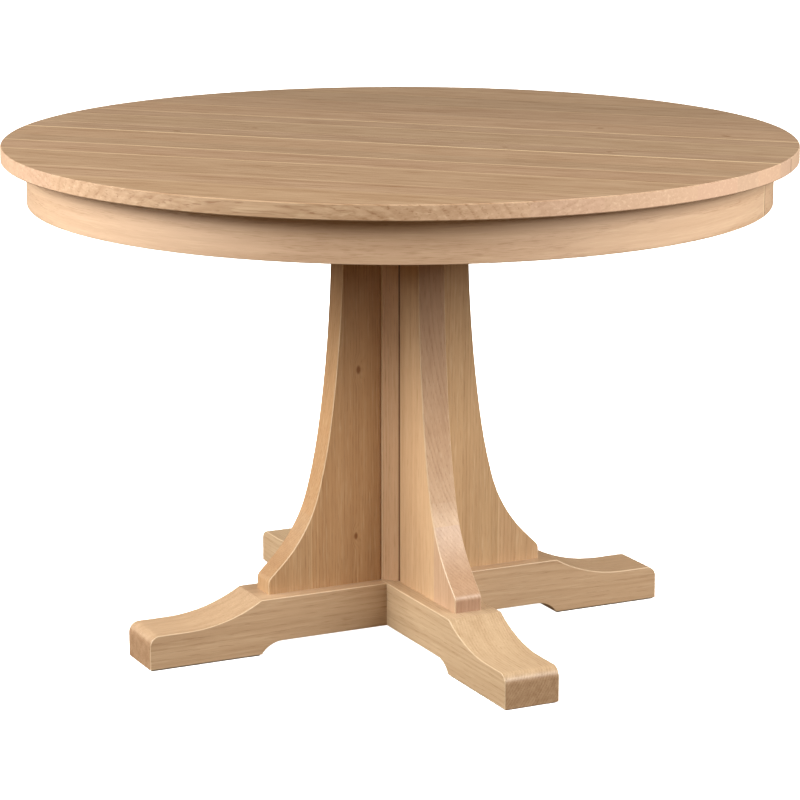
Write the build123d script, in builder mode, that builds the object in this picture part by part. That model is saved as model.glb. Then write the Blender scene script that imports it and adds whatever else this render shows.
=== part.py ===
from build123d import *
import os
from math import acos, ceil, cos, pi, radians, sin, sqrt, tan

os.makedirs("parts", exist_ok=True)

# A round oak extension table on a four-winged pedestal, shown closed. Millimetres.
# Origin on the floor under the middle of the top. X runs along the top's boards and the
# line where the top parts, Y is the way its halves pull out, and the feet lie at 45 degrees.

# Top: two halves, each glued up from boards. Widths run outwards from the split, and the
# last board of each half is what the circle leaves over.
table_height = 770.0
top_diameter = 1200.0
top_thickness = 23.0
rim_ease = 1.5
split_gap = 0.4
split_ease = 0.6
front_board_widths = (58.0, 82.0, 57.0, 83.0, 134.0, 72.0)
rear_board_widths = (96.0, 58.0, 93.0, 110.0, 109.0)
pull_out = 305.0

# Alignment pins between the halves
pin_count = 4
pin_radius = 5.0
pin_set_in = 25.0
pin_stand_out = 14.0
pin_play = 0.3
pin_rim_margin = 100.0

# Apron: one bent, laminated half ring under each half, with glue blocks behind it
apron_overhang = 37.5
apron_height = 66.0
apron_thickness = 20.0
apron_ease = 1.5
block_depth = 20.0
block_height = 22.0
block_arc = 6.0
block_angles = (-75.0, -45.0, -12.0, 12.0, 45.0, 75.0)

# Feet: two cross-lapped beams
beam_width = 89.0
beam_height = 86.0
beam_ease = 1.5
felt_thickness = 2.0
felt_inset = 3.0
foot_reach = 436.0
pad_length = 182.0
toe_height = 52.5
toe_length = 61.0
toe_round = 16.0
arch_rise = 18.0
arch_cove = 34.0
plateau_margin = 21.0
lap_play = 0.1

# Post and wings. Each wing is sawn from two strips, glued edge to edge at the joint reach.
post_across_flats = 89.0
post_ease = 0.8
wing_thickness = 44.0
wing_joint_reach = 161.0
wing_ease = 1.2
wing_top_reach = 106.5
wing_base_reach = 233.0
wing_nose_height = 22.0
wing_nose_round = 14.0
wing_toe_slope = 31.0
wing_toe_angle = 46.0
wing_flare_radius = 227.0
wing_flare_turn = 31.0
wing_sweep_radius = 878.0
wing_sweep_turn = 6.6

# Dowels that glue each wing to the post
dowel_radius = 5.0
dowel_length = 50.0
dowel_count = 3
dowel_margin = 90.0

# Head board and the slides: fixed rails on the pedestal, moving rails under each half
head_board_thickness = 22.0
head_board_width = 300.0
head_board_margin = 46.0
head_board_corner = 20.0
head_board_chamfer = 2.0
rail_offset = 205.0
fixed_rail_width = 28.0
fixed_rail_height = 40.0
fixed_rail_length = 500.0
fixed_rail_chamfer = 1.0
fixed_rail_screw_margin = 30.0
fixed_rail_screw_rows = 3
moving_rail_width = 30.0
rail_head_room = 2.0
rail_tail = 230.0
rail_relief = 1.0
rail_relief_past = 20.0
rail_end_gap = 3.0
tongue_depth = 9.0
tongue_height = 12.0
tongue_play = 0.4
rail_gap = 0.6
rail_screw_margin = 40.0
rail_screw_rows = 4

# Equalizer: a pinion on the head board between one rack for each half
gear_module = 3.0
pinion_teeth = 16
pressure_angle = 20.0
gear_addendum = 0.8
gear_dedendum = 1.15
gear_backlash = 0.3
pinion_height = 14.0
axle_radius = 5.0
axle_play = 0.05
axle_end_play = 0.3
axle_chamfer = 0.8
axle_collar_radius = 10.0
axle_cap_height = 3.0
axle_set_in = 15.0
rack_back = 12.0
rack_height = 12.0
rack_lead = 20.0
rack_arm_near = 60.0
rack_arm_far = 235.0
rack_block_width = 20.0
rack_screw_margin = 25.0
rack_teeth_past = 2

# Table locks at the split
lock_rim_margin = 142.5
lock_plate_thickness = 3.0
lock_plate_width = 34.0
lock_plate_edge = 5.0
lock_plate_corner = 3.0
lock_plate_depth = {"front": 40.0, "rear": 28.0}
lock_rivet_flange = 2.5
lock_rivet_thickness = 1.5
lock_pivot_back = 24.0
lock_pivot_radius = 3.0
lock_post_radius = 4.0
lock_post_back = 14.0
lock_lever_height = 6.0
lock_lever_ease = 0.8
lock_lever_gap = 1.0
lock_hook_play = 0.8
lock_finger_width = 7.0
lock_finger_start = -30.0
lock_finger_end = 22.0
lock_web_arc = 14.0
lock_hub_radius = 12.0
lock_web_overlap = 2.0
lock_handle_length = 46.0
lock_handle_width = 11.0
lock_handle_angle = 205.0

# Fasteners. A hole in a glued or screwed piece is wider than what fills it by the glue line,
# and every cut runs past the face it opens by the cut margin.
glue_line = 0.05
cut_margin = 1.0
screw_radius = 2.2
screw_head_radius = 4.5
screw_head_depth = 2.5
screw_length = 45.0
screw_sink_play = 0.5
head_screw_spread = 12.0
rail_screw_sink = 12.0
rack_screw_length = 28.0
rack_screw_bite = 13.0
short_screw_length = 12.0
short_screw_margin = 5.0
lag_radius = 4.0
lag_head_radius = 9.0
lag_head_height = 5.0
lag_length = 95.0
lag_sink = 14.0
lag_sink_play = 1.0
lag_places = (105.0, 185.0)
centre_bolt_radius = 6.0
centre_bolt_length = 150.0
centre_bolt_head_radius = 9.6
centre_washer_radius = 20.0
centre_washer_thickness = 2.5

# Heights and radii that follow
top_radius = top_diameter / 2
underside = table_height - top_thickness
apron_radius = top_radius - apron_overhang
apron_inner = apron_radius - apron_thickness
apron_bottom = underside - apron_height
head_top = underside - rail_head_room - fixed_rail_height
head_bottom = head_top - head_board_thickness
beam_top = felt_thickness + beam_height
arch_top = felt_thickness + arch_rise
lap_height = (beam_top + arch_top) / 2
post_half = post_across_flats / 2
plateau_reach = wing_base_reach + plateau_margin
gear_radius = gear_module * pinion_teeth / 2
half_gap = split_gap / 2
lock_plate_middle = {half: lock_plate_edge + depth / 2 for half, depth in lock_plate_depth.items()}
arm_angles = {"right": 45, "rear": 135, "left": 225, "front": 315}


def save(piece, label):
    """Names a finished piece and writes its file."""
    piece.part.label = label
    export_step(piece.part, f"parts/{label}.step")


def upright_plane(angle):
    """The vertical plane through the table's axis, x outwards at this angle and y up."""
    out = (cos(radians(angle)), sin(radians(angle)), 0)
    return Plane(origin=(0, 0, 0), x_dir=out, z_dir=(out[1], -out[0], 0))


def outward_plane(angle, reach, height):
    """A plane that faces outwards at this angle, reach from the table's axis."""
    out = (cos(radians(angle)), sin(radians(angle)), 0)
    return Plane(origin=(reach * out[0], reach * out[1], height), z_dir=out)


def half_plane(half, height):
    """A level plane whose +y is the way this half pulls out."""
    x_way = {"front": (-1, 0, 0), "rear": (1, 0, 0)}[half]
    return Plane(origin=(0, 0, height), x_dir=x_way, z_dir=(0, 0, 1))


def screw_body(length, extra=0.0):
    """A countersunk screw with its head's face at z = 0 and its point up; extra grows a hole."""
    shank = screw_radius + extra
    head = screw_head_radius + extra
    with BuildPart() as screw:
        with BuildSketch(Plane.XZ):
            with BuildLine():
                Polyline((0, 0), (head, 0), (shank, screw_head_depth),
                         (shank, length - 2 * screw_radius), (0, length + extra), close=True)
            make_face()
        revolve(axis=Axis.Z)
    return screw.part


def lag_body(length, extra=0.0):
    """A hex-headed lag screw, head downwards, with the shoulder of its head at z = 0."""
    with BuildPart() as lag:
        with BuildSketch(Plane.XY):
            Circle(lag_radius + extra)
        extrude(amount=length + extra)
        if extra == 0:
            with BuildSketch(Plane.XY.offset(-lag_head_height)):
                RegularPolygon(lag_head_radius * cos(pi / 6), 6, major_radius=False)
            extrude(amount=lag_head_height)
    return lag.part


# Feet. The lower beam is notched from above and the upper one from below.
def lag_set(angle, extra=0.0):
    """The lag screws that rise through one beam into its two wings."""
    with BuildPart() as lags:
        for way in (angle, angle + 180):
            for reach in lag_places:
                with Locations(outward_plane(way, reach, arch_top + lag_sink).origin):
                    add(lag_body(lag_length, extra))
                if extra > 0:
                    with BuildSketch(Plane(outward_plane(way, reach, arch_top - cut_margin).origin)):
                        Circle(lag_head_radius + lag_sink_play)
                    extrude(amount=lag_sink + cut_margin)
    return lags.part


def centre_bolt_body(extra=0.0):
    """The bolt up the middle, through both beams into the post, with its washer."""
    washer_bottom = arch_top - centre_washer_thickness
    with BuildPart() as bolt:
        with BuildSketch(Plane.XY.offset(arch_top - cut_margin if extra else washer_bottom)):
            Circle(centre_bolt_radius + extra)
        extrude(amount=centre_bolt_length + extra)
        if extra == 0:
            with BuildSketch(Plane.XY.offset(washer_bottom)):
                Circle(centre_washer_radius)
            extrude(amount=centre_washer_thickness)
            with BuildSketch(Plane.XY.offset(washer_bottom - lag_head_height)):
                RegularPolygon(centre_bolt_head_radius, 6, major_radius=False)
            extrude(amount=lag_head_height)
    return bolt.part


def out_from_axis(edge):
    """How far an edge's middle lies from the table's axis."""
    return Vector(edge.center().X, edge.center().Y).length


def foot_beam(label, angle, notch_low, notch_high):
    """One beam across the floor, with a foot at each end."""
    plane = upright_plane(angle)
    pad_start = foot_reach - pad_length
    with BuildPart() as beam:
        with BuildSketch(plane):
            with BuildLine():
                Line((0, beam_top), (plateau_reach, beam_top))
                toe_start = (foot_reach - toe_length, felt_thickness + toe_height)
                TangentArc(toe_start, (plateau_reach, beam_top), tangent=(-1, 0))
                Line(toe_start, (foot_reach, toe_start[1]))
                Line((foot_reach, toe_start[1]), (foot_reach, felt_thickness))
                Line((foot_reach, felt_thickness), (pad_start, felt_thickness))
                cove_end = (pad_start - arch_cove, arch_top)
                TangentArc(cove_end, (pad_start, felt_thickness), tangent=(1, 0))
                Line(cove_end, (0, arch_top))
                mirror(about=Plane.YZ)
            make_face()
        extrude(amount=beam_width / 2, both=True)
        level = beam.edges().filter_by(Axis((0, 0, 0), plane.z_dir))
        toe_edges = level.filter_by(lambda edge: edge.center().Z > arch_top).sort_by(out_from_axis)[-2:]
        fillet(toe_edges, toe_round)
        fillet(beam.faces().filter_by(Axis((0, 0, 0), plane.z_dir)).edges(), beam_ease)
        with BuildSketch(plane):
            with Locations((0, (notch_low + notch_high) / 2)):
                Rectangle(beam_width + 2 * lap_play, notch_high - notch_low)
        extrude(amount=beam_width, both=True, mode=Mode.SUBTRACT)
        add(lag_set(angle, glue_line), mode=Mode.SUBTRACT)
        add(centre_bolt_body(glue_line), mode=Mode.SUBTRACT)
    save(beam, label)


foot_beam("lower_foot_beam", arm_angles["right"], lap_height, beam_top + cut_margin)
foot_beam("upper_foot_beam", arm_angles["front"], arch_top - cut_margin, lap_height)

with BuildPart() as felt_pads:
    for angle in arm_angles.values():
        pad_plane = Plane(origin=(0, 0, 0), x_dir=upright_plane(angle).x_dir, z_dir=(0, 0, 1))
        with BuildSketch(pad_plane):
            with Locations((foot_reach - pad_length / 2, 0)):
                Rectangle(pad_length - 2 * felt_inset, beam_width - 2 * felt_inset)
        extrude(amount=felt_thickness)
save(felt_pads, "felt_pads")

with BuildPart() as centre_bolt:
    add(centre_bolt_body())
save(centre_bolt, "centre_bolt")

with BuildPart() as wing_lags:
    add(lag_set(arm_angles["right"]))
    add(lag_set(arm_angles["front"]))
save(wing_lags, "wing_lag_screws")


# Post and wings
def dowel_set(extra=0.0):
    """Level dowels across each face where a wing meets the post."""
    spread = head_bottom - beam_top - 2 * dowel_margin
    with BuildPart() as pegs:
        for angle in arm_angles.values():
            for step in range(dowel_count):
                height = beam_top + dowel_margin + spread * step / (dowel_count - 1)
                start = post_half - dowel_length / 2 - extra
                with BuildSketch(outward_plane(angle, start, height)):
                    Circle(dowel_radius + extra)
                extrude(amount=dowel_length + 2 * extra)
    return pegs.part


def head_screw_set(extra=0.0):
    """Screws from the top of the head board down into the wings."""
    middle = (post_half + wing_top_reach) / 2
    with BuildPart() as screws:
        for angle in arm_angles.values():
            for shift in (-head_screw_spread, head_screw_spread):
                place = outward_plane(angle, middle + shift, head_top).origin
                with Locations(Plane(origin=place, z_dir=(0, 0, -1))):
                    add(screw_body(screw_length, extra))
    return screws.part


with BuildPart() as wing_dowels:
    add(dowel_set())
save(wing_dowels, "wing_dowels")

with BuildPart() as centre_post:
    with BuildSketch(Plane.XY.offset(beam_top)):
        RegularPolygon(post_half, 8, major_radius=False, rotation=22.5)
    extrude(amount=head_bottom - beam_top)
    chamfer(centre_post.edges().filter_by(Axis.Z), post_ease)
    add(dowel_set(glue_line), mode=Mode.SUBTRACT)
    add(centre_bolt_body(glue_line), mode=Mode.SUBTRACT)
save(centre_post, "centre_post")

for arm, angle in arm_angles.items():
    plane = upright_plane(angle)
    with BuildPart() as wing:
        with BuildSketch(plane):
            with BuildLine():
                base = Line((post_half, beam_top), (wing_base_reach, beam_top))
                nose = Line(base @ 1, (wing_base_reach, beam_top + wing_nose_height))
                lean = radians(wing_toe_angle)
                toe = PolarLine(nose @ 1, wing_toe_slope, direction=(-sin(lean), cos(lean)))
                flare = JernArc(toe @ 1, toe % 1, wing_flare_radius, -wing_flare_turn)
                sweep_up = JernArc(flare @ 1, flare % 1, wing_sweep_radius, -wing_sweep_turn)
                rise = TangentArc(sweep_up @ 1, (wing_top_reach, head_bottom), tangent=sweep_up % 1)
                Line(rise @ 1, (post_half, head_bottom))
                Line((post_half, head_bottom), (post_half, beam_top))
            make_face()
        extrude(amount=wing_thickness / 2, both=True)
        across = Axis((0, 0, 0), plane.z_dir)
        nose_edge = wing.edges().filter_by(across).sort_by(out_from_axis)[-2:].sort_by(Axis.Z)[-1]
        fillet(nose_edge, wing_nose_round)
        outline = wing.faces().filter_by(across).edges()
        levels = outline.group_by(Axis.Z)
        chamfer(outline - levels[0] - levels[-1], wing_ease)
        add(dowel_set(glue_line), mode=Mode.SUBTRACT)
        add(lag_set(angle, glue_line), mode=Mode.SUBTRACT)
        add(head_screw_set(glue_line), mode=Mode.SUBTRACT)
    for strip_name, kept in (("inner", Keep.BOTTOM), ("outer", Keep.TOP)):
        with BuildPart() as strip:
            add(wing.part)
            split(bisect_by=outward_plane(angle, wing_joint_reach, 0), keep=kept)
        save(strip, f"{arm}_wing_{strip_name}")


# Head board and fixed rails
def fixed_rail_screw_set(extra=0.0):
    """Screws from under the head board up into the fixed rails."""
    with BuildPart() as screws:
        with Locations(Plane.XY.offset(head_bottom)):
            span = head_board_width - 2 * fixed_rail_screw_margin
            with GridLocations(2 * rail_offset, span / (fixed_rail_screw_rows - 1),
                               2, fixed_rail_screw_rows):
                add(screw_body(screw_length, extra))
    return screws.part


axle_bottom = head_top - axle_set_in
pinion_bottom = (head_top + underside - pinion_height) / 2
rack_bottom = pinion_bottom + (pinion_height - rack_height) / 2

with BuildPart() as head_board:
    board_length = 2 * rail_offset + fixed_rail_width + 2 * head_board_margin
    with BuildSketch(Plane.XY.offset(head_bottom)):
        RectangleRounded(board_length, head_board_width, head_board_corner)
    extrude(amount=head_board_thickness)
    chamfer(head_board.faces().sort_by(Axis.Z)[0].edges(), head_board_chamfer)
    add(head_screw_set(glue_line), mode=Mode.SUBTRACT)
    add(fixed_rail_screw_set(glue_line), mode=Mode.SUBTRACT)
    with BuildSketch(Plane.XY.offset(axle_bottom)):
        Circle(axle_radius + glue_line)
    extrude(amount=axle_set_in, mode=Mode.SUBTRACT)
save(head_board, "head_board")

with BuildPart() as head_screws:
    add(head_screw_set())
save(head_screws, "head_screws")

with BuildPart() as fixed_rail_screws:
    add(fixed_rail_screw_set())
save(fixed_rail_screws, "fixed_rail_screws")

tongue_middle = head_top + fixed_rail_height / 2
for label, x_middle in (("left_fixed_rail", -rail_offset), ("right_fixed_rail", rail_offset)):
    with BuildPart() as fixed_rail:
        with BuildSketch(Plane.XZ.offset(-fixed_rail_length / 2)):
            with Locations((x_middle, tongue_middle)):
                Rectangle(fixed_rail_width, fixed_rail_height)
                Rectangle(fixed_rail_width + 2 * tongue_depth, tongue_height)
        extrude(amount=fixed_rail_length)
        chamfer(fixed_rail.edges().filter_by(Axis.Y).group_by(Axis.Z)[-1], fixed_rail_chamfer)
        add(fixed_rail_screw_set(glue_line), mode=Mode.SUBTRACT)
    save(fixed_rail, label)

# Equalizer. The axle is pressed into the head board, with a collar under the pinion.
cap_bottom = pinion_bottom + pinion_height + axle_end_play

with BuildPart() as pinion_axle:
    with BuildSketch(Plane.XY.offset(axle_bottom)):
        Circle(axle_radius)
    extrude(amount=cap_bottom - axle_bottom)
    with BuildSketch(Plane.XY.offset(head_top)):
        Circle(axle_collar_radius)
    extrude(amount=pinion_bottom - axle_end_play - head_top)
    with BuildSketch(Plane.XY.offset(cap_bottom)):
        Circle(axle_collar_radius)
    extrude(amount=axle_cap_height)
    chamfer(pinion_axle.faces().sort_by(Axis.Z)[-1].edges(), axle_chamfer)
save(pinion_axle, "pinion_axle")

flank_base = gear_radius * cos(radians(pressure_angle))
tip_radius = gear_radius + gear_addendum * gear_module
root_radius = gear_radius - gear_dedendum * gear_module
tooth_width = (pi * gear_module - gear_backlash) / 2


def flank_point(radius):
    """A point of the pinion's involute flank, for a tooth centred on +x."""
    roll = acos(min(1, flank_base / radius))
    pitch_roll = radians(pressure_angle)
    turn = tooth_width / (2 * gear_radius) + tan(pitch_roll) - pitch_roll - tan(roll) + roll
    return (radius * cos(turn), radius * sin(turn))


with BuildSketch() as pinion_tooth:
    with BuildLine():
        step = (tip_radius - flank_base) / 4
        flank = Spline([flank_point(flank_base + step * i) for i in range(5)])
        root = Line(flank @ 0, (flank @ 0) * (root_radius / flank_base))
        mirror(about=Plane.XZ)
        tip = flank @ 1
        ThreePointArc((tip.X, tip.Y), (tip_radius, 0), (tip.X, -tip.Y))
        foot = root @ 1
        Line((foot.X, foot.Y), (foot.X, -foot.Y))
    make_face()

with BuildPart() as pinion:
    with BuildSketch(Plane.XY.offset(pinion_bottom)):
        Circle(root_radius)
        with PolarLocations(0, pinion_teeth):
            add(pinion_tooth.sketch)
        Circle(axle_radius + axle_play, mode=Mode.SUBTRACT)
    extrude(amount=pinion_height)
save(pinion, "equalizer_pinion")


def rack_screw_set(half, extra=0.0):
    """Screws up through a rack and its block into the top."""
    head_height = underside + rack_screw_bite - rack_screw_length
    with BuildPart() as screws:
        middle = gear_radius + gear_dedendum * gear_module + rack_back / 2
        span = rack_arm_far - rack_arm_near - 2 * rack_screw_margin
        with Locations(half_plane(half, head_height)):
            with Locations((-middle, (rack_arm_far + rack_arm_near) / 2)):
                with GridLocations(1, span, 1, 2):
                    add(screw_body(rack_screw_length, extra))
                    if extra > 0:
                        Cylinder(screw_head_radius + screw_sink_play,
                                 head_height - rack_bottom + cut_margin,
                                 align=(Align.CENTER, Align.CENTER, Align.MAX))
    return screws.part


def rack(half):
    """The toothed bar of one half, with the block that carries it under the top."""
    pitch = pi * gear_module
    slope = tan(radians(pressure_angle))
    tip = gear_addendum * gear_module
    root = gear_dedendum * gear_module
    tooth_count = ceil((pull_out + 2 * rack_lead) / pitch)
    with BuildPart() as bar:
        with BuildSketch(half_plane(half, rack_bottom)):
            bar_length = rack_arm_far + pull_out + rack_lead
            with Locations((-gear_radius - root - rack_back / 2,
                            (rack_arm_far - pull_out - rack_lead) / 2)):
                Rectangle(rack_back, bar_length)
            first = pitch * (rack_teeth_past + 0.5)
            with Locations(*[(-gear_radius, first - pitch * i) for i in range(tooth_count)]):
                Polygon((-root, tooth_width / 2 + root * slope),
                        (-root, -tooth_width / 2 - root * slope),
                        (tip, -tooth_width / 2 + tip * slope),
                        (tip, tooth_width / 2 - tip * slope), align=None)
        extrude(amount=rack_height)
        with BuildSketch(half_plane(half, rack_bottom + rack_height)):
            with Locations((-gear_radius - root - rack_back / 2,
                            (rack_arm_far + rack_arm_near) / 2)):
                Rectangle(rack_block_width, rack_arm_far - rack_arm_near)
        extrude(amount=underside - rack_bottom - rack_height)
        add(rack_screw_set(half, glue_line), mode=Mode.SUBTRACT)
    save(bar, f"{half}_rack")


# What each half of the top holds
def rail_middle(half):
    """How far from the middle this half's moving rails run: outside the fixed ones or inside."""
    side_step = fixed_rail_width / 2 + rail_gap + moving_rail_width / 2
    return rail_offset + side_step if half == "front" else rail_offset - side_step


def rail_reach(half):
    """How far out this half's rails run before they meet the apron."""
    corner = rail_middle(half) + moving_rail_width / 2
    return sqrt(apron_inner ** 2 - corner ** 2) - rail_end_gap


def rail_screw_set(half, extra=0.0):
    """Screws up through this half's moving rails into the top, sunk in deep holes."""
    reach = rail_reach(half)
    with BuildPart() as screws:
        with Locations(half_plane(half, underside - fixed_rail_height + rail_screw_sink)):
            with Locations((0, reach / 2)):
                step = (reach - 2 * rail_screw_margin) / (rail_screw_rows - 1)
                with GridLocations(2 * rail_middle(half), step, 2, rail_screw_rows):
                    add(screw_body(screw_length, extra))
                    if extra > 0:
                        Cylinder(screw_head_radius + screw_sink_play, rail_screw_sink + cut_margin,
                                 align=(Align.CENTER, Align.CENTER, Align.MAX))
    return screws.part


def pin_set(length, start, extra=0.0):
    """Level pins across the split, start from it on the front half's side."""
    reach = top_radius - pin_rim_margin
    with BuildPart() as pins:
        with BuildSketch(Plane.XZ.offset(start)):
            with Locations((0, underside + top_thickness / 2)):
                with GridLocations(2 * reach / (pin_count - 1), 1, pin_count, 1):
                    Circle(pin_radius + extra)
        extrude(amount=-length)
    return pins.part


def moving_rail(half, side):
    """One grooved rail that runs on a fixed rail's tongue."""
    x_middle = side * rail_middle(half)
    groove_side = -side if half == "front" else side
    length = rail_reach(half) + rail_tail
    rail_bottom = underside - fixed_rail_height
    with BuildPart() as rail:
        section = half_plane(half, 0)
        away = -1 if half == "front" else 1
        with BuildSketch(Plane(origin=(0, -away * rail_tail, 0), x_dir=(1, 0, 0), z_dir=(0, -1, 0))):
            with Locations((x_middle, rail_bottom + fixed_rail_height / 2)):
                Rectangle(moving_rail_width, fixed_rail_height)
            groove_depth = tongue_depth + tongue_play - rail_gap
            with Locations((x_middle + groove_side * (moving_rail_width - groove_depth) / 2,
                            tongue_middle)):
                Rectangle(groove_depth, tongue_height + 2 * tongue_play, mode=Mode.SUBTRACT)
        extrude(amount=-away * length)
        with BuildSketch(section.offset(underside - rail_relief)):
            with Locations((x_middle * section.x_dir.X, -rail_tail / 2)):
                Rectangle(moving_rail_width, rail_tail + rail_relief_past)
        extrude(amount=rail_relief, mode=Mode.SUBTRACT)
        add(rail_screw_set(half, glue_line), mode=Mode.SUBTRACT)
    side_name = "right" if side > 0 else "left"
    save(rail, f"{half}_{side_name}_rail")


def apron(half):
    """The bent half ring under one half of the top."""
    with BuildPart() as ring:
        with BuildSketch(half_plane(half, apron_bottom)):
            Circle(apron_radius)
            Circle(apron_inner, mode=Mode.SUBTRACT)
            with Locations((0, half_gap)):
                Rectangle(2 * top_radius, top_radius, align=(Align.CENTER, Align.MIN),
                          mode=Mode.INTERSECT)
        extrude(amount=apron_height)
        bottom_arcs = ring.faces().sort_by(Axis.Z)[0].edges().filter_by(GeomType.CIRCLE)
        fillet(bottom_arcs, apron_ease)
    save(ring, f"{half}_apron")


def glue_blocks(half):
    """Blocks glued behind the apron, under the top."""
    with BuildPart() as blocks:
        for angle in block_angles:
            with BuildSketch(half_plane(half, underside - block_height)):
                Circle(apron_inner - glue_line)
                Circle(apron_inner - block_depth, mode=Mode.SUBTRACT)
                wedge = radians(block_arc / 2)
                with Locations(Location((0, 0), angle + 90)):
                    Polygon((0, 0), (top_radius, -top_radius * tan(wedge)),
                            (top_radius, top_radius * tan(wedge)), align=None, mode=Mode.INTERSECT)
            extrude(amount=block_height)
    save(blocks, f"{half}_glue_blocks")


with BuildPart() as round_top:
    with BuildSketch(Plane.XZ):
        with BuildLine():
            flat_reach = top_radius - rim_ease
            Polyline((0, underside), (flat_reach, underside), (top_radius, underside + rim_ease),
                     (top_radius, table_height - rim_ease), (flat_reach, table_height),
                     (0, table_height), close=True)
        make_face()
    revolve(axis=Axis.Z)


def boards(half, widths):
    """The boards of one half, each a slice of the round top."""
    edges = [half_gap]
    for width in widths:
        edges.append(edges[-1] + width)
    edges.append(top_radius)
    for index in range(len(edges) - 1):
        with BuildPart() as board:
            add(round_top.part)
            with BuildSketch(half_plane(half, underside)):
                with Locations((0, edges[index])):
                    Rectangle(2 * top_radius, edges[index + 1] - edges[index],
                              align=(Align.CENTER, Align.MIN))
            extrude(amount=top_thickness, mode=Mode.INTERSECT)
            if index == 0:
                split_face = board.faces().filter_by(Axis.Y).sort_by(
                    lambda face: abs(face.center().Y))[0]
                chamfer(split_face.edges().filter_by(Axis.X), split_ease)
                if half == "front":
                    add(pin_set(pin_set_in + glue_line, pin_set_in + glue_line, glue_line),
                        mode=Mode.SUBTRACT)
                else:
                    add(pin_set(pin_stand_out + pin_play, 0, pin_play), mode=Mode.SUBTRACT)
            add(rail_screw_set(half, glue_line), mode=Mode.SUBTRACT)
            add(rack_screw_set(half, glue_line), mode=Mode.SUBTRACT)
            add(lock_screw_set(half, glue_line), mode=Mode.SUBTRACT)
        save(board, f"{half}_board_{index + 1}")


# Table locks: a hooked lever under the front half and a post under the rear half
lock_offset = apron_inner - lock_rim_margin
plate_bottom = underside - lock_plate_thickness
lever_top = plate_bottom - lock_lever_gap
lever_bottom = lever_top - lock_lever_height
hook_radius = lock_pivot_back + lock_post_back


def lock_screw_set(half, extra=0.0):
    """Short screws that hold the lock plates, or the keeper plates, under the top."""
    with BuildPart() as screws:
        plate_middle = lock_plate_middle[half]
        with Locations(half_plane(half, plate_bottom)):
            with Locations((-lock_offset, plate_middle), (lock_offset, plate_middle)):
                with GridLocations(lock_plate_width - 2 * short_screw_margin,
                                   lock_plate_depth[half] - 2 * short_screw_margin, 2, 2):
                    add(screw_body(short_screw_length, extra))
    return screws.part


def lock_plates(half, pin_back, pin_radius_here, label):
    """The two plates of one half, each with its pivot or post riveted in."""
    with BuildPart() as plates:
        with BuildSketch(half_plane(half, plate_bottom)):
            with Locations((-lock_offset, lock_plate_middle[half]),
                           (lock_offset, lock_plate_middle[half])):
                RectangleRounded(lock_plate_width, lock_plate_depth[half], lock_plate_corner)
        extrude(amount=lock_plate_thickness)
        with BuildSketch(half_plane(half, lever_bottom - lock_lever_gap)):
            with Locations((-lock_offset, pin_back), (lock_offset, pin_back)):
                Circle(pin_radius_here)
        extrude(amount=plate_bottom - lever_bottom + lock_lever_gap)
        with BuildSketch(half_plane(half, lever_bottom - lock_lever_gap - lock_rivet_thickness)):
            with Locations((-lock_offset, pin_back), (lock_offset, pin_back)):
                Circle(pin_radius_here + lock_rivet_flange)
        extrude(amount=lock_rivet_thickness)
        add(lock_screw_set(half, glue_line), mode=Mode.SUBTRACT)
    save(plates, label)


def ring_sector(inner, outer, start, end):
    """A flat ring sector about the origin, between two angles in degrees."""
    with BuildSketch(mode=Mode.PRIVATE) as sector:
        with BuildLine():
            out_arc = CenterArc((0, 0), outer, start, end - start)
            in_arc = CenterArc((0, 0), inner, start, end - start)
            Line(out_arc @ 0, in_arc @ 0)
            Line(out_arc @ 1, in_arc @ 1)
        make_face()
    return sector.sketch


def lock_lever(label, x_middle):
    """One lever, swung clear: a hub, a web, a curved hook and a thumb handle."""
    hook_inner = hook_radius + lock_post_radius + lock_hook_play
    pivot = Plane(origin=(x_middle, -lock_pivot_back, lever_bottom))
    with BuildPart() as lever:
        with BuildSketch(pivot):
            Circle(lock_hub_radius)
            add(ring_sector(hook_inner, hook_inner + lock_finger_width,
                            lock_finger_start, lock_finger_end))
            add(ring_sector(lock_hub_radius - lock_web_overlap, hook_inner + lock_finger_width,
                            lock_finger_start, lock_finger_start + lock_web_arc))
            with Locations(Location((0, 0), lock_handle_angle)):
                SlotCenterPoint((lock_handle_length / 2, 0),
                                (lock_handle_length - lock_handle_width / 2, 0), lock_handle_width)
            Circle(lock_pivot_radius + axle_play, mode=Mode.SUBTRACT)
        extrude(amount=lock_lever_height)
        fillet(lever.faces().sort_by(Axis.Z)[0].outer_wire().edges(), lock_lever_ease)
    save(lever, label)


for half, widths in (("front", front_board_widths), ("rear", rear_board_widths)):
    boards(half, widths)
    apron(half)
    glue_blocks(half)
    for side in (-1, 1):
        moving_rail(half, side)
    rack(half)
    with BuildPart() as half_screws:
        add(rail_screw_set(half))
        add(rack_screw_set(half))
        add(lock_screw_set(half))
    save(half_screws, f"{half}_screws")

with BuildPart() as alignment_pins:
    add(pin_set(pin_set_in + pin_stand_out, pin_set_in))
save(alignment_pins, "alignment_pins")

lock_plates("front", lock_pivot_back, lock_pivot_radius, "lock_plates")
lock_plates("rear", lock_post_back, lock_post_radius, "lock_keepers")
lock_lever("left_lock_lever", -lock_offset)
lock_lever("right_lock_lever", lock_offset)
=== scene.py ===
from math import radians

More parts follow.
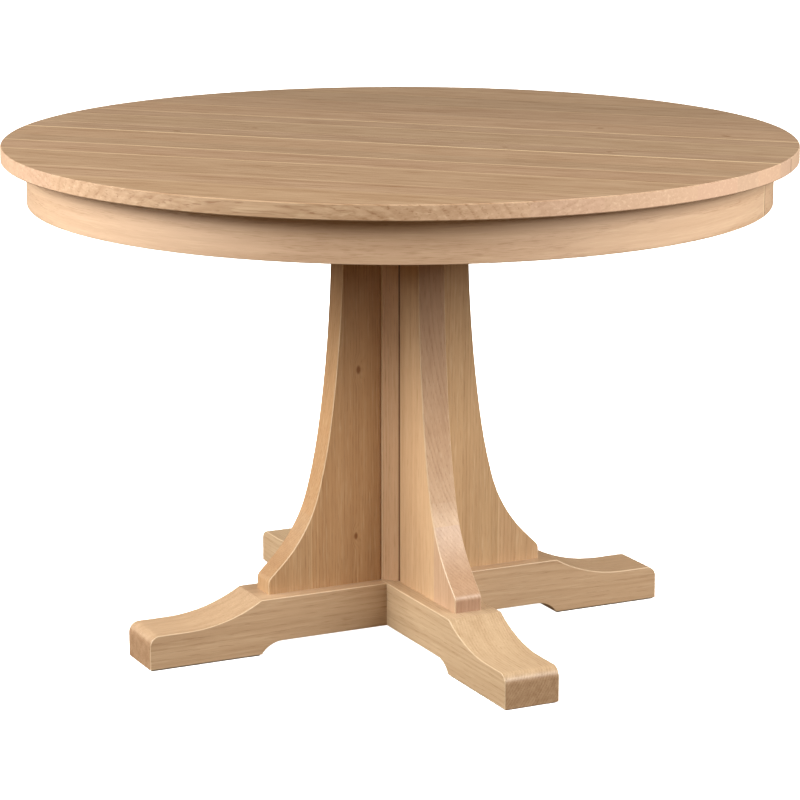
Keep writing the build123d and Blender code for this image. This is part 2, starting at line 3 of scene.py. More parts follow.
import bmesh
import bpy
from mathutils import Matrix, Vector


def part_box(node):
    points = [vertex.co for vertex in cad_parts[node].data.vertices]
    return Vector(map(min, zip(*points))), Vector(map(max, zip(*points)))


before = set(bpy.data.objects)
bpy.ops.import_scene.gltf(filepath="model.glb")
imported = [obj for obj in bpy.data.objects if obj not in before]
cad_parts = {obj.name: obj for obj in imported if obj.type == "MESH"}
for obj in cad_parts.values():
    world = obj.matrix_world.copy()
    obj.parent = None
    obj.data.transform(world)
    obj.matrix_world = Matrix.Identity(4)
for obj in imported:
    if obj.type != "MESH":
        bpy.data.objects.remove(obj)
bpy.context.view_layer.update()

# A round oak extension table on a pedestal of four curved wings over crossed feet.
# Metres, in the frame's axes: X along the boards, Y the way the two halves pull out.


# ---- Studio ---------------------------------------------------------------------------------
# A seamless pale floor, softboxes at the sides, front and back and one overhead, and the camera.
# The softboxes are as large as the table, so shadows stay soft and the rim is lit from both ends.
scene = bpy.context.scene
scene.view_settings.view_transform = "Standard"

camera_place = (1.5387, -4.4587, 1.4655)
camera_tilt = 76.856
camera_turn = 19.04
camera_lens = 141.57
camera_film = 36.0
air_tone = "#ffd3a4"
air_strength = 0.16
floor_reach = 30.0
floor_tones = ("#f3f2f0", "#f1f0ee")
floor_mottles_per_metre = 3.0
floor_roughness = 0.8
lights = {
    "left_softbox": {"place": (-2.62, -1.62, 1.85), "aim": (0, 0, 0.5), "size": (3.4, 1.4), "power": 168},
    "right_softbox": {"place": (3.0, -0.50, 1.85), "aim": (0, 0, 0.5), "size": (3.4, 1.4), "power": 140},
    "overhead_softbox": {"place": (0.2, -0.4, 3.6), "aim": (0, 0, 0.6), "size": (2.6, 2.6), "power": 10},
    "front_softbox": {"place": (-1.7, -4.2, 2.9), "aim": (0, 0, 0.4), "size": (2.2, 1.2), "power": 62},
    "rear_softbox": {"place": (2.0, 4.1, 3.2), "aim": (0, 0, 0.4), "size": (3.0, 1.4), "power": 46},
    "floor_wash": {"place": (0, 0, 8.0), "aim": (0, 0, 0), "size": (56.0, 56.0), "power": 30000},
}


def linear(tone):
    """An sRGB hex colour as linear red, green, blue and alpha."""
    parts = [int(tone[i:i + 2], 16) / 255 for i in (1, 3, 5)]
    return tuple(c / 12.92 if c <= 0.04045 else ((c + 0.055) / 1.055) ** 2.4 for c in parts) + (1.0,)


def add(tree, kind, inputs, **settings):
    """Adds one shader node with its settings and its inputs, values or links, and returns its outputs."""
    node = tree.nodes.new("ShaderNode" + kind)
    for name, value in settings.items():
        setattr(node, name, value)
    for name, value in inputs.items():
        if isinstance(value, bpy.types.NodeSocket):
            tree.links.new(value, node.inputs[name])
        else:
            node.inputs[name].default_value = value
    return node.outputs


def new_material(name):
    """An empty node material and its tree."""
    material = bpy.data.materials.new(name)
    material.use_nodes = True
    material.node_tree.nodes.clear()
    return material, material.node_tree


# The Mix node's sockets for colours
SHARE, FIRST, SECOND, MIXED = 0, 6, 7, 2

camera = bpy.data.objects.new("camera", bpy.data.cameras.new("camera"))
camera.location = camera_place
camera.rotation_euler = (radians(camera_tilt), 0, radians(camera_turn))
camera.data.lens = camera_lens
camera.data.sensor_width = camera_film
scene.collection.objects.link(camera)
scene.camera = camera

lamps = {}
for name, box in lights.items():
    light = bpy.data.lights.new(name, "AREA")
    light.shape = "RECTANGLE"
    light.size, light.size_y = box["size"]
    light.energy = box["power"]
    lamp = bpy.data.objects.new(name, light)
    lamp.location = box["place"]
    lamp.rotation_euler = (Vector(box["aim"]) - Vector(box["place"])).to_track_quat("-Z", "Y").to_euler()
    scene.collection.objects.link(lamp)
    lamps[name] = lamp

scene.world = bpy.data.worlds.new("studio_air")
scene.world.use_nodes = True
air = scene.world.node_tree.nodes["Background"]
air.inputs["Color"].default_value = linear(air_tone)
air.inputs["Strength"].default_value = air_strength

# Matt emulsion paint, rolled on, which leaves the floor faintly mottled and without a shine
sweep_paint, tree = new_material("matt_studio_floor")
place = add(tree, "TexCoord", {})["Object"]
scuffs = add(tree, "TexNoise", {"Vector": place, "Scale": floor_mottles_per_metre, "Detail": 4.0})["Fac"]
shade = add(tree, "Mix", {SHARE: scuffs, FIRST: linear(floor_tones[0]), SECOND: linear(floor_tones[1])},
            data_type="RGBA")[MIXED]
surface = add(tree, "BsdfPrincipled", {"Base Color": shade, "Roughness": floor_roughness})[0]
add(tree, "OutputMaterial", {"Surface": surface})
floor_mesh = bmesh.new()
bmesh.ops.create_grid(floor_mesh, x_segments=1, y_segments=1, size=floor_reach)
floor_data = bpy.data.meshes.new("studio_floor")
floor_mesh.to_mesh(floor_data)
floor_mesh.free()
floor_data.materials.append(sweep_paint)
floor = bpy.data.objects.new("studio_floor", floor_data)
scene.collection.objects.link(floor)

# The wash whitens the floor alone, past the table, and the floor throws no light back up under it
washed = bpy.data.collections.new("washed_by_floor_wash")
washed.objects.link(floor)
lamps["floor_wash"].light_linking.receiver_collection = washed
lamps["floor_wash"].light_linking.blocker_collection = washed
floor.visible_diffuse = False
floor.visible_glossy = False

# The rear softbox only lifts the far side, and leaves no glare on the top
lamps["rear_softbox"].visible_glossy = False


# ---- Feet -----------------------------------------------------------------------------------
# Two oak beams 89 mm wide, halved over each other and glued, each sawn to an arch below and a
# hollow curve above. Their grain runs along the beam, so the toes' ends show end grain.
def finish(node_name, material):
    """Gives a CAD node its finished material in its own slots."""
    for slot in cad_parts[node_name].material_slots:
        slot.material = material


# How much red, green and blue oak loses where it is darkest
shade_loss = (0.62, 0.78, 0.92, 0)


def darker(tone, share):
    """A wood tone shaded towards its own red brown, in linear colour."""
    return tuple(part * (1 - loss * share) for part, loss in zip(linear(tone), shade_loss))


# The figure's shape: waves per metre along, across and through the grain, and shares of a ring,
# a pore gap or a knot's size. Oak's rings lie about 2 mm apart and its pores are 0.3 mm across.
# They are drawn 4 mm apart and 1 mm across, and twice that on the top, so that they show.
slow_waves = (1.6, 7.0, 7.0)
quick_waves = (11.0, 70.0, 70.0)
ripple_height = 0.0022
spring_end, autumn_start = 0.55, 0.84
years_in_a_spell = 0.37
knot_stretch = (0.55, 1.0, 0.25)
knot_reach, knot_push, knot_core_edge = 3.2, 2.2, 0.35
pore_run, ray_run, ray_width = 0.045, 0.02, 0.5
pores_in_autumn = 0.25

# How dark rings, pores and knots are, the pale tone of rays, and the pale tone of sanded arrises, which also
# carries a painted highlight
ring_depth, pore_depth, knot_depth = 0.55, 0.8, 0.86
ray_tone = "#e6cfa9"
sanded_arris_highlight_tone = "#efd8b2"

# How square to the grain a surface stands where it is all end grain, and how strongly that shows
end_full, end_strength = 0.97, 0.8

# How deep the lacquer sinks into the pores, and how much rougher it is there
lacquer_dip, dip_strength, dip_between_pores = 0.0003, 0.3, 0.25
pore_roughness = 0.2


def wood(name, tone, grain="along", turn=0.0, heart=(0.0, -0.1), start=0.0, bend_radius=1.0,
         ring_gap=0.0042, sway=0.010, rings=0.30, streaks=0.30, streak_grain=(2.6, 95.0),
         pores=0.40, pore_gap=0.0011, flecks=0.22, arris=0.0, lines=(), knots=(), edge_shade=None,
         end_figure=0.8, end_from=0.35, end_shade=(0.80, 0.70, 0.62, 1), gloss=0.40):
    """Sawn and lacquered wood, cut from a tree that stands in the piece: growth rings round the
    heart, long pores, broad streaks, and end grain where the surface crosses the grain.

    grain is along (the turned X axis), up, or round (bent to bend_radius). heart is where the
    tree's middle lies, across and through the grain, and start is how far along the log. rings,
    streaks, pores, flecks and arris say how strongly each shows; arris is a sanded pale edge with a
    painted highlight. lines are glue lines, seams, painted shadows of gaps and painted highlights,
    each (axis, place, half width, tone, share, which faces). knots are (along, across, through,
    size). end_shade and edge_shade multiply the colour on end grain and on a curved edge.
    """
    material, tree = new_material(name)
    coordinates = add(tree, "TexCoord", {})
    place = add(tree, "Mapping", {"Vector": coordinates["Object"], "Rotation": (0, 0, -turn)})[0]
    facing = add(tree, "Mapping", {"Vector": coordinates["Normal"], "Rotation": (0, 0, -turn)})[0]
    face = add(tree, "SeparateXYZ", {"Vector": facing})
    spot = add(tree, "SeparateXYZ", {"Vector": place})
    lengthwise = face["X"]
    if grain == "up":
        place = add(tree, "CombineXYZ", {"X": spot["Z"], "Y": spot["X"], "Z": spot["Y"]})[0]
        lengthwise = face["Z"]
    if grain == "round":
        angle = add(tree, "Math", {0: spot["Y"], 1: spot["X"]}, operation="ARCTAN2")[0]
        travel = add(tree, "Math", {0: angle, 1: bend_radius}, operation="MULTIPLY")[0]
        level = add(tree, "VectorMath", {0: place, 1: (1, 1, 0)}, operation="MULTIPLY")[0]
        reach = add(tree, "VectorMath", {0: level}, operation="LENGTH")["Value"]
        place = add(tree, "CombineXYZ", {"X": travel, "Y": spot["Z"], "Z": reach})[0]
    tree_place = add(tree, "Mapping", {"Vector": place, "Location": (start, -heart[0], -heart[1])})[0]

    # Growth rings: distance from the heart, swayed slowly along the grain and pushed out by knots
    slow = add(tree, "VectorMath", {0: tree_place, 1: slow_waves}, operation="MULTIPLY")[0]
    swing = add(tree, "TexNoise", {"Vector": slow, "Scale": 1.0, "Detail": 2.0})["Fac"]
    quick = add(tree, "VectorMath", {0: tree_place, 1: quick_waves}, operation="MULTIPLY")[0]
    ripple = add(tree, "TexNoise", {"Vector": quick, "Scale": 1.0, "Detail": 2.0})["Fac"]
    section = add(tree, "VectorMath", {0: tree_place, 1: (0, 1, 1)}, operation="MULTIPLY")[0]
    age = add(tree, "VectorMath", {0: section}, operation="LENGTH")["Value"]
    age = add(tree, "Math", {0: swing, 1: 2 * sway, 2: age}, operation="MULTIPLY_ADD")[0]
    age = add(tree, "Math", {0: ripple, 1: ripple_height, 2: age}, operation="MULTIPLY_ADD")[0]
    knot_core = None
    for along, across, through, size in knots:
        apart = add(tree, "VectorMath", {0: place, 1: (along, across, through)}, operation="SUBTRACT")[0]
        apart = add(tree, "VectorMath", {0: apart, 1: knot_stretch}, operation="MULTIPLY")[0]
        gap = add(tree, "VectorMath", {0: apart}, operation="LENGTH")["Value"]
        push = add(tree, "MapRange", {"Value": gap, "From Min": 0, "From Max": knot_reach * size,
                                      "To Min": knot_push * size, "To Max": 0},
                   interpolation_type="SMOOTHSTEP")[0]
        age = add(tree, "Math", {0: age, 1: push}, operation="ADD")[0]
        core = add(tree, "MapRange", {"Value": gap, "From Min": knot_core_edge * size, "From Max": size,
                                      "To Min": 1, "To Max": 0}, interpolation_type="SMOOTHSTEP")[0]
        if knot_core is not None:
            core = add(tree, "Math", {0: knot_core, 1: core}, operation="MAXIMUM")[0]
        knot_core = core
    years = add(tree, "Math", {0: age, 1: 1 / ring_gap}, operation="MULTIPLY")[0]
    season = add(tree, "Math", {0: years}, operation="FRACT")[0]
    spring = add(tree, "MapRange", {"Value": season, "From Min": 0.0, "From Max": spring_end,
                                    "To Min": 1.0, "To Max": 0.0}, interpolation_type="SMOOTHSTEP")[0]
    autumn = add(tree, "MapRange", {"Value": season, "From Min": autumn_start, "From Max": 1.0},
                 interpolation_type="SMOOTHSTEP")[0]
    early = add(tree, "Math", {0: spring, 1: autumn}, operation="ADD", use_clamp=True)[0]
    years_apart = add(tree, "Math", {0: years, 1: years_in_a_spell}, operation="MULTIPLY")[0]
    good_years = add(tree, "TexNoise", {"W": years_apart, "Scale": 1.0, "Detail": 1.0},
                     noise_dimensions="1D")["Fac"]
    good_years = add(tree, "MapRange", {"Value": good_years, "From Min": 0.25, "From Max": 0.75})[0]
    ring_shade = add(tree, "Math", {0: early, 1: good_years}, operation="MULTIPLY")[0]

    # Pores are long dark dashes, strongest in the spring wood, over broad streaks of darker wood
    fine = add(tree, "VectorMath", {0: tree_place, 1: (pore_run / pore_gap, 1 / pore_gap, 1 / pore_gap)},
               operation="MULTIPLY")[0]
    pore_field = add(tree, "TexNoise", {"Vector": fine, "Scale": 1.0, "Detail": 1.5})["Fac"]
    pore = add(tree, "MapRange", {"Value": pore_field, "From Min": 0.53, "From Max": 0.66},
               interpolation_type="SMOOTHSTEP")[0]
    pore_weight = add(tree, "MapRange", {"Value": early, "To Min": pores_in_autumn, "To Max": 1.0})[0]
    pore = add(tree, "Math", {0: pore, 1: pore_weight}, operation="MULTIPLY")[0]
    broad = add(tree, "VectorMath", {0: tree_place, 1: streak_grain + streak_grain[1:]},
                operation="MULTIPLY")[0]
    streak = add(tree, "TexNoise", {"Vector": broad, "Scale": 1.0, "Detail": 3.0})["Fac"]
    streak = add(tree, "MapRange", {"Value": streak, "From Min": 0.36, "From Max": 0.66})[0]

    # Rays catch the light as short pale flecks beside the pores
    ray_scale = (ray_run / pore_gap, ray_width / pore_gap, ray_width / pore_gap)
    ray = add(tree, "VectorMath", {0: tree_place, 1: ray_scale}, operation="MULTIPLY")[0]
    ray = add(tree, "TexNoise", {"Vector": ray, "Scale": 1.0, "Detail": 2.0, "Roughness": 0.6})["Fac"]
    ray = add(tree, "MapRange", {"Value": ray, "From Min": 0.54, "From Max": 0.7, "To Max": flecks})[0]

    shaded = add(tree, "Math", {0: ring_shade, 1: rings}, operation="MULTIPLY")[0]
    shaded = add(tree, "Math", {0: streak, 1: streaks, 2: shaded}, operation="MULTIPLY_ADD")[0]

    # On end grain the figure is calmer or bolder than on the faces, and its tone changes
    crossing = add(tree, "Math", {0: lengthwise}, operation="ABSOLUTE")[0]
    if grain != "round":
        calm = add(tree, "MapRange", {"Value": crossing, "From Min": 0.3, "From Max": 0.9,
                                      "To Min": 1.0, "To Max": end_figure})[0]
        shaded = add(tree, "Math", {0: shaded, 1: calm}, operation="MULTIPLY")[0]
        pore = add(tree, "Math", {0: pore, 1: calm}, operation="MULTIPLY", use_clamp=True)[0]
    colour = add(tree, "Mix", {SHARE: shaded, FIRST: linear(tone), SECOND: darker(tone, ring_depth)},
                 data_type="RGBA")[MIXED]
    pore_share = add(tree, "Math", {0: pore, 1: pores}, operation="MULTIPLY")[0]
    colour = add(tree, "Mix", {SHARE: pore_share, FIRST: colour, SECOND: darker(tone, pore_depth)},
                 data_type="RGBA")[MIXED]
    colour = add(tree, "Mix", {SHARE: ray, FIRST: colour, SECOND: linear(ray_tone)},
                 data_type="RGBA")[MIXED]
    if grain != "round":
        end_grain = add(tree, "MapRange", {"Value": crossing, "From Min": end_from, "From Max": end_full,
                                           "To Max": end_strength}, interpolation_type="SMOOTHSTEP")[0]
        colour = add(tree, "Mix", {SHARE: end_grain, FIRST: colour, SECOND: end_shade},
                     data_type="RGBA", blend_type="MULTIPLY")[MIXED]
    if edge_shade is not None:
        # A curved edge shows the darker face of the growth rings where it runs nearly upright
        steep = add(tree, "MapRange", {"Value": crossing, "From Min": 0.06, "From Max": 0.45,
                                       "To Min": 1, "To Max": 0})[0]
        edge = add(tree, "Math", {0: steep, 1: face["X"]}, operation="MULTIPLY", use_clamp=True)[0]
        colour = add(tree, "Mix", {SHARE: edge, FIRST: colour, SECOND: edge_shade},
                     data_type="RGBA", blend_type="MULTIPLY")[MIXED]
    if knot_core is not None:
        colour = add(tree, "Mix", {SHARE: knot_core, FIRST: colour, SECOND: darker(tone, knot_depth)},
                     data_type="RGBA")[MIXED]
    if arris:
        # Sanded arrises are bare of dark pores and show as pale lines along the edges, drawn paler still as a
        # painted highlight on the chamfers
        slant = add(tree, "Math", {0: face["Y"]}, operation="ABSOLUTE")[0]
        off_edge = add(tree, "MapRange", {"Value": slant, "From Min": 0.22, "From Max": 0.40})[0]
        off_side = add(tree, "MapRange", {"Value": slant, "From Min": 0.90, "From Max": 0.98,
                                          "To Min": arris, "To Max": 0})[0]
        sanded_and_highlit = add(tree, "Math", {0: off_edge, 1: off_side}, operation="MULTIPLY")[0]
        colour = add(tree, "Mix", {SHARE: sanded_and_highlit, FIRST: colour, SECOND: linear(sanded_arris_highlight_tone)},
                     data_type="RGBA")[MIXED]

    # Glue lines, seams, painted shadows of gaps and painted highlights: on any face, or on level, side or
    # upright ones only
    for axis, where, half_width, line_tone, share, faces in lines:
        side = add(tree, "Math", {0: spot[axis], 1: where}, operation="SUBTRACT")[0]
        side = add(tree, "Math", {0: side}, operation="ABSOLUTE")[0]
        line = add(tree, "MapRange", {"Value": side, "From Min": 0.6 * half_width,
                                      "From Max": half_width, "To Min": share, "To Max": 0})[0]
        if faces == "level":
            line = add(tree, "Math", {0: line, 1: face["Z"]}, operation="MULTIPLY", use_clamp=True)[0]
            patchy = add(tree, "MapRange", {"Value": swing, "From Min": 0.35, "From Max": 0.55,
                                            "To Min": 0.3})[0]
            line = add(tree, "Math", {0: line, 1: patchy}, operation="MULTIPLY")[0]
        if faces == "side":
            flat = add(tree, "Math", {0: face["Y"]}, operation="ABSOLUTE")[0]
            flat = add(tree, "MapRange", {"Value": flat, "From Min": 0.95, "From Max": 0.99})[0]
            line = add(tree, "Math", {0: line, 1: flat}, operation="MULTIPLY")[0]
        if faces == "upright":
            tilt = add(tree, "Math", {0: face["Z"]}, operation="ABSOLUTE")[0]
            upright = add(tree, "Math", {0: 1.0, 1: tilt}, operation="SUBTRACT")[0]
            line = add(tree, "Math", {0: line, 1: upright}, operation="MULTIPLY")[0]
        colour = add(tree, "Mix", {SHARE: line, FIRST: colour, SECOND: linear(line_tone)},
                     data_type="RGBA")[MIXED]

    # Satin lacquer sinks a little into the pores, which stay slightly open and rougher
    sunk = add(tree, "Math", {0: pore, 1: -1.0}, operation="MULTIPLY")[0]
    sunk = add(tree, "Math", {0: early, 1: -dip_between_pores, 2: sunk}, operation="MULTIPLY_ADD")[0]
    dent = add(tree, "Bump", {"Height": sunk, "Strength": dip_strength, "Distance": lacquer_dip})[0]
    rough = add(tree, "MapRange", {"Value": pore, "To Min": gloss, "To Max": gloss + pore_roughness})[0]
    surface = add(tree, "BsdfPrincipled", {"Base Color": colour, "Roughness": rough, "IOR": 1.5,
                                           "Normal": dent})[0]
    add(tree, "OutputMaterial", {"Surface": surface})
    return material


# The hearts lie far off to one side, so the ends show slanting rings and the tops fine straight ones
beam_finish = {"arris": 0.5, "end_figure": 1.8, "end_from": 0.84, "end_shade": (0.70, 0.62, 0.58, 1)}
finish("lower_foot_beam", wood("lacquered_oak_lower_beam", "#c9aa87", turn=radians(45), heart=(0.21, 0.16),
                               start=1.3, **beam_finish))
finish("upper_foot_beam", wood("lacquered_oak_upper_beam", "#c9ad89", turn=radians(-45), heart=(-0.22, 0.15),
                               start=4.1, **beam_finish))


# ---- Felt pads ------------------------------------------------------------------------------
# A pad of pressed wool felt, 2 mm thick, glued under each foot.
# Felt is matted, so it is matt with short loose hairs and no direction.

# The hairs are 0.03 mm thick and lie closer than that; they are drawn 1 mm apart, so that they show
felt_hairs_per_metre = 900.0


def felt(name):
    """Pressed grey brown wool felt."""
    material, tree = new_material(name)
    place = add(tree, "TexCoord", {})["Object"]
    hairs = add(tree, "TexNoise", {"Vector": place, "Scale": felt_hairs_per_metre, "Detail": 3.0,
                                  "Distortion": 1.5})["Fac"]
    colour = add(tree, "Mix", {SHARE: hairs, FIRST: linear("#2b2420"), SECOND: linear("#4d423a")},
                 data_type="RGBA")[MIXED]
    nap = add(tree, "Bump", {"Height": hairs, "Strength": 0.6, "Distance": 0.0004})[0]
    surface = add(tree, "BsdfPrincipled", {"Base Color": colour, "Roughness": 0.95, "Normal": nap,
                                           "Sheen Weight": 0.25, "Sheen Roughness": 0.6})[0]
    add(tree, "OutputMaterial", {"Surface": surface})
    return material


finish("felt_pads", felt("pressed_wool_felt"))


# ---- Bolt, lag screws and axle --------------------------------------------------------------
# A bolt and eight lag screws hold the beams to the post and wings. Bright zinc plate on steel
# is a silver grey with a soft, slightly mottled shine.

# The plate's grain is finer than 0.1 mm; it is drawn in patches of 4.5 mm, so that it shows
plate_patches_per_metre = 220.0


def plated(name, tone, mottle, low, high):
    """Metal plating: an even metal colour with fine mottling in its shine."""
    material, tree = new_material(name)
    place = add(tree, "TexCoord", {})["Object"]
    patches = add(tree, "TexNoise", {"Vector": place, "Scale": plate_patches_per_metre, "Detail": 4.0})["Fac"]
    colour = add(tree, "Mix", {SHARE: patches, FIRST: linear(tone), SECOND: linear(mottle)},
                 data_type="RGBA")[MIXED]
    rough = add(tree, "MapRange", {"Value": patches, "To Min": low, "To Max": high})[0]
    grit = add(tree, "Bump", {"Height": patches, "Strength": 0.15, "Distance": 0.0002})[0]
    surface = add(tree, "BsdfPrincipled", {"Base Color": colour, "Metallic": 1.0, "Roughness": rough,
                                           "Normal": grit})[0]
    add(tree, "OutputMaterial", {"Surface": surface})
    return material


zinc = plated("bright_zinc_plate", "#bfc1c0", "#a7aaa9", 0.26, 0.46)
for node_name in ("centre_bolt", "wing_lag_screws", "pinion_axle"):
    finish(node_name, zinc)


# ---- Post and dowels ------------------------------------------------------------------------
# An eight-sided oak post, planed and lacquered, its grain upright; beech dowels join the wings.
# Oak shows fine upright lines here; beech is close grained and evenly pale.

# The strip of post between two wings has a dark line on one side, a painted shadow of the narrow
# gap where the wing meets the post, and a pale one on the other, a painted highlight on its eased
# arris. Each is drawn 3 mm wide, and the wing covers the outer part of it
painted_gap_shadow = "#5a3415"
post_line_place = 0.0142
post_line_half_width = 0.0016
post_shadow_and_highlight_lines = [(axis, side * post_line_place, post_line_half_width, tone, share, "any")
              for axis in "XY" for side, tone, share in ((1, painted_gap_shadow, 0.85), (-1, sanded_arris_highlight_tone, 0.5))]
finish("centre_post", wood("lacquered_oak_post", "#d8b18a", grain="up", heart=(0.4, -0.32), start=2.7,
                           lines=post_shadow_and_highlight_lines))
beech = wood("turned_beech", "#d8b48c", grain="up", ring_gap=0.003, pores=0.2, streaks=0.15)
finish("wing_dowels", beech)


# ---- Wings ----------------------------------------------------------------------------------
# Four oak wings, each sawn to a flaring curve from two strips glued edge to edge, grain upright.
# The strips come from different boards, so the joint shows as a step in tone and a pale line.
wing_tones = {"right": ("#c6a47b", "#c9a67e"), "rear": ("#c9a276", "#cda77c"),
              "left": ("#bd956a", "#bd986f"), "front": ("#cfac84", "#c8a686")}
arm_angles = {"right": 45, "rear": 135, "left": 225, "front": 315}
wing_hearts = {"right": (0.45, 0.30), "rear": (0.5, -0.3), "left": (0.5, 0.25), "front": (0.52, -0.28)}
front_edge_shade = (0.78, 0.72, 0.74, 1)
wing_glue_line = ("X", 0.161, 0.0010, "#e4c69a", 0.3, "side")
# Two small pin knots, one above the other, in the left wing's inner strip
left_knots = [(0.424, 0.081, 0.022, 0.0050), (0.163, 0.086, 0.022, 0.0042)]
for index, (arm, tones) in enumerate(wing_tones.items()):
    for strip, tone in zip(("inner", "outer"), tones):
        node_name = f"{arm}_wing_{strip}"
        finish(node_name, wood(f"lacquered_oak_{node_name}", tone, grain="up",
                               turn=radians(arm_angles[arm]), heart=wing_hearts[arm],
                               start=1.9 * index + (0.8 if strip == "outer" else 0), arris=0.45,
                               lines=[wing_glue_line],
                               edge_shade=front_edge_shade if arm == "front" else None,
                               knots=left_knots if node_name == "left_wing_inner" else ()))


# ---- Head board -----------------------------------------------------------------------------
# A plain oak board screwed down onto the wings, which carries the slides. Sealed, not lacquered.
sealed_oak = wood("sealed_oak_inside", "#c59d70", heart=(0.05, 0.55), start=0.4, gloss=0.6)
finish("head_board", sealed_oak)


# ---- Slides ---------------------------------------------------------------------------------
# Waxed maple rails, fixed ones on the head board and grooved moving ones under each half top.
# Maple is pale and close grained, without oak's open pores.
maple = wood("waxed_maple", "#dcbd90", turn=radians(90), heart=(0.3, 0.6), ring_gap=0.005,
             rings=0.16, streaks=0.16, pores=0.08, gloss=0.5)
for node_name in ("left_fixed_rail", "right_fixed_rail", "front_left_rail", "front_right_rail",
                  "rear_left_rail", "rear_right_rail"):
    finish(node_name, maple)


# ---- Screws ---------------------------------------------------------------------------------
# Countersunk steel wood screws, bright zinc plate, in the head board, rails and locks.
for node_name in ("head_screws", "fixed_rail_screws", "front_screws", "rear_screws"):
    finish(node_name, zinc)


# ---- Equalizer ------------------------------------------------------------------------------
# Moulded nylon racks and pinion, which make both halves travel together.
# Moulding leaves an even, slightly waxy black with a faint flow texture.

# The melt flows into a mould this size in swirls of about 6 mm
nylon_swirls_per_metre = 160.0


def moulded_nylon(name):
    """Black glass-filled nylon from a mould."""
    material, tree = new_material(name)
    place = add(tree, "TexCoord", {})["Object"]
    flow = add(tree, "TexNoise", {"Vector": place, "Scale": nylon_swirls_per_metre, "Detail": 5.0,
                                 "Distortion": 0.6})["Fac"]
    colour = add(tree, "Mix", {SHARE: flow, FIRST: linear("#1b1b1d"), SECOND: linear("#2a2a2c")},
                 data_type="RGBA")[MIXED]
    rough = add(tree, "MapRange", {"Value": flow, "To Min": 0.42, "To Max": 0.58})[0]
    skin = add(tree, "Bump", {"Height": flow, "Strength": 0.2, "Distance": 0.0002})[0]
    surface = add(tree, "BsdfPrincipled", {"Base Color": colour, "Roughness": rough, "IOR": 1.53,
                                           "Normal": skin})[0]
    add(tree, "OutputMaterial", {"Surface": surface})
    return material


nylon = moulded_nylon("moulded_nylon")
for node_name in ("front_rack", "rear_rack", "equalizer_pinion"):
    finish(node_name, nylon)


# ---- Half tops ------------------------------------------------------------------------------
# Solid oak boards glued edge to edge, seven in the front half and six in the rear, sanded flat
# and lacquered satin. Each board has its own tone and figure, and its glue lines carry a pale painted
# highlight.
# Besides each board's own tone, the front half's boards grow lighter towards the front edge and the rear
# half's are darker on the whole: painted shade of the light falling off across the top
board_tones = {
    "front": ("#b3987d", "#ba9d7f", "#b59a7d", "#b99b7e", "#ba9d7e", "#bc9e80", "#bfa180"),
    "rear": ("#b79d80", "#b4997e", "#b89c80", "#b2977c", "#ae957a", "#b69c80"),
}
board_hearts = (-0.09, 0.04, 0.12, -0.03, 0.02, 0.07, -0.11)
board_heart_height = 0.72

# A glue line is hair thin. Its painted highlight is drawn 3 mm wide on each board, because a table
# top is looked at from a low angle
glue_highlight_tone = "#ecd2a8"
glue_highlight_half_width = 0.0032
# How strong each glue line's painted highlight is, counted outwards from the split: the split's own edge
# comes first
glue_highlight_shares = {"front": (0.12, 1.0, 0.10, 0.65, 0.5, 0.3, 0.2, 0.0),
              "rear": (0.15, 0.3, 0.75, 0.3, 0.3, 0.2, 0.0)}
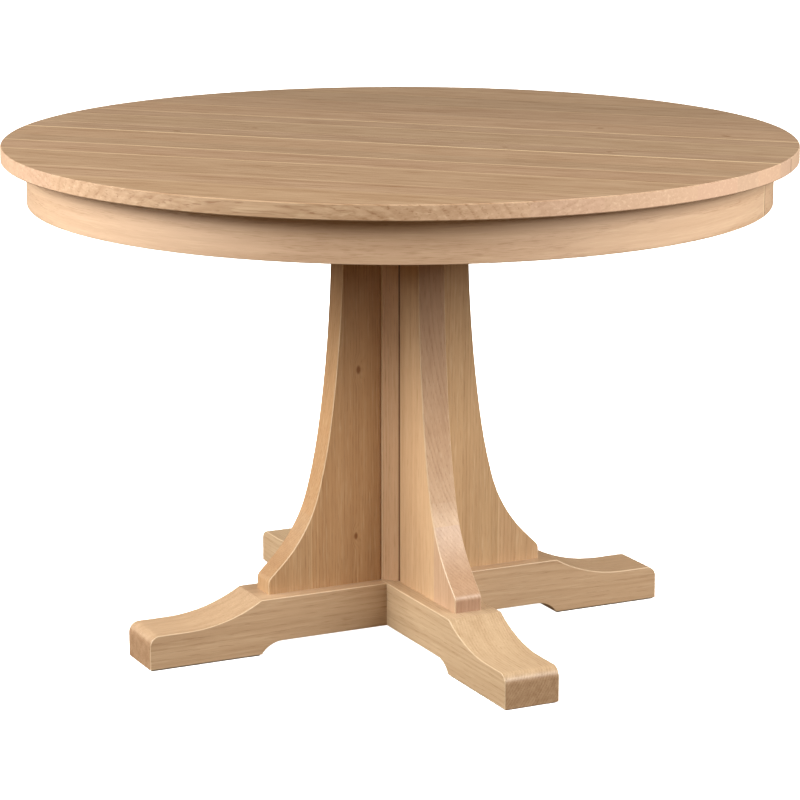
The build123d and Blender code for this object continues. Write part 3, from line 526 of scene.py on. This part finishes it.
# Painted shade of the narrow gap at the split, dark on the rim and on the two faces that meet there
split_gap_shade = ("Y", 0.0, 0.0016, "#4a3322", 0.85, "upright")
board_knots = {"front_board_1": [(-0.348, -0.040, 0.77, 0.0050), (0.176, -0.033, 0.77, 0.0040),
                                 (0.336, -0.030, 0.77, 0.0035)],
               "rear_board_1": [(-0.247, 0.029, 0.77, 0.0045)],
               "rear_board_3": [(0.460, 0.183, 0.77, 0.0060), (0.257, 0.203, 0.77, 0.0040)]}
for half, tones in board_tones.items():
    for index, tone in enumerate(tones):
        node_name = f"{half}_board_{index + 1}"
        low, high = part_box(node_name)
        middle = (low.y + high.y) / 2
        edges = sorted((low.y, high.y), key=abs)
        lines = [("Y", edge, glue_highlight_half_width, glue_highlight_tone, highlight_share, "level")
                 for edge, highlight_share in zip(edges, glue_highlight_shares[half][index:])]
        if index == 0:
            lines.append(split_gap_shade)
        # end_shade here makes the rim's end grain paler and whiter than the faces: a painted sheen where the
        # side softboxes strike the rim's ends
        finish(node_name, wood(f"lacquered_oak_{node_name}", tone,
                               heart=(middle + board_hearts[index], board_heart_height - 0.05 * (index % 3)),
                               start=0.83 * index + (0.4 if half == "rear" else 5.2),
                               ring_gap=0.008, pore_gap=0.0020, streaks=0.6, rings=0.45, pores=0.75,
                               streak_grain=(8.0, 130.0), end_from=0.0, end_figure=0.1,
                               end_shade=(1.30, 1.27, 1.38, 1), lines=lines,
                               knots=board_knots.get(node_name, ())))
finish("alignment_pins", wood("turned_beech_pins", "#d8b48c", turn=radians(90), heart=(0.3, 0.6),
                              ring_gap=0.003, pores=0.2, streaks=0.15))


# ---- Aprons ---------------------------------------------------------------------------------
# A half ring of oak under each half, bent from glued laminations, with glue blocks behind it.
# Bending keeps the grain running round the table, so it shows as fine level lines.
apron_low, apron_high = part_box("front_apron")
# The ends that meet are dark, a painted shade of the narrow gap between them, and a pale line stands
# beside them on the front one. Both lines are under 1 mm wide; they are drawn 3 and 4 mm wide, so that they
# show
apron_gap_shade_and_pale_line = [("Y", 0.0, 0.0016, "#5a3c22", 0.8, "upright"),
               ("Y", -0.0040, 0.0022, "#f1d9b0", 0.6, "upright")]
for half, tone in (("front", "#cfb091"), ("rear", "#cbac8d")):
    finish(f"{half}_apron", wood(f"lacquered_oak_{half}_apron", tone, grain="round",
                                 bend_radius=apron_high.x, heart=(apron_low.z + 0.02, 0.44),
                                 sway=0.006, start=7.0 if half == "front" else 2.0, lines=apron_gap_shade_and_pale_line))
    finish(f"{half}_glue_blocks", sealed_oak)


# ---- Table locks ----------------------------------------------------------------------------
# Brass-plated steel plates, levers and keepers that clamp the halves together at the split.
brass = plated("brass_plate", "#c8a45c", "#b48f4a", 0.24, 0.4)
for node_name in ("lock_plates", "lock_keepers", "left_lock_lever", "right_lock_lever"):
    finish(node_name, brass)
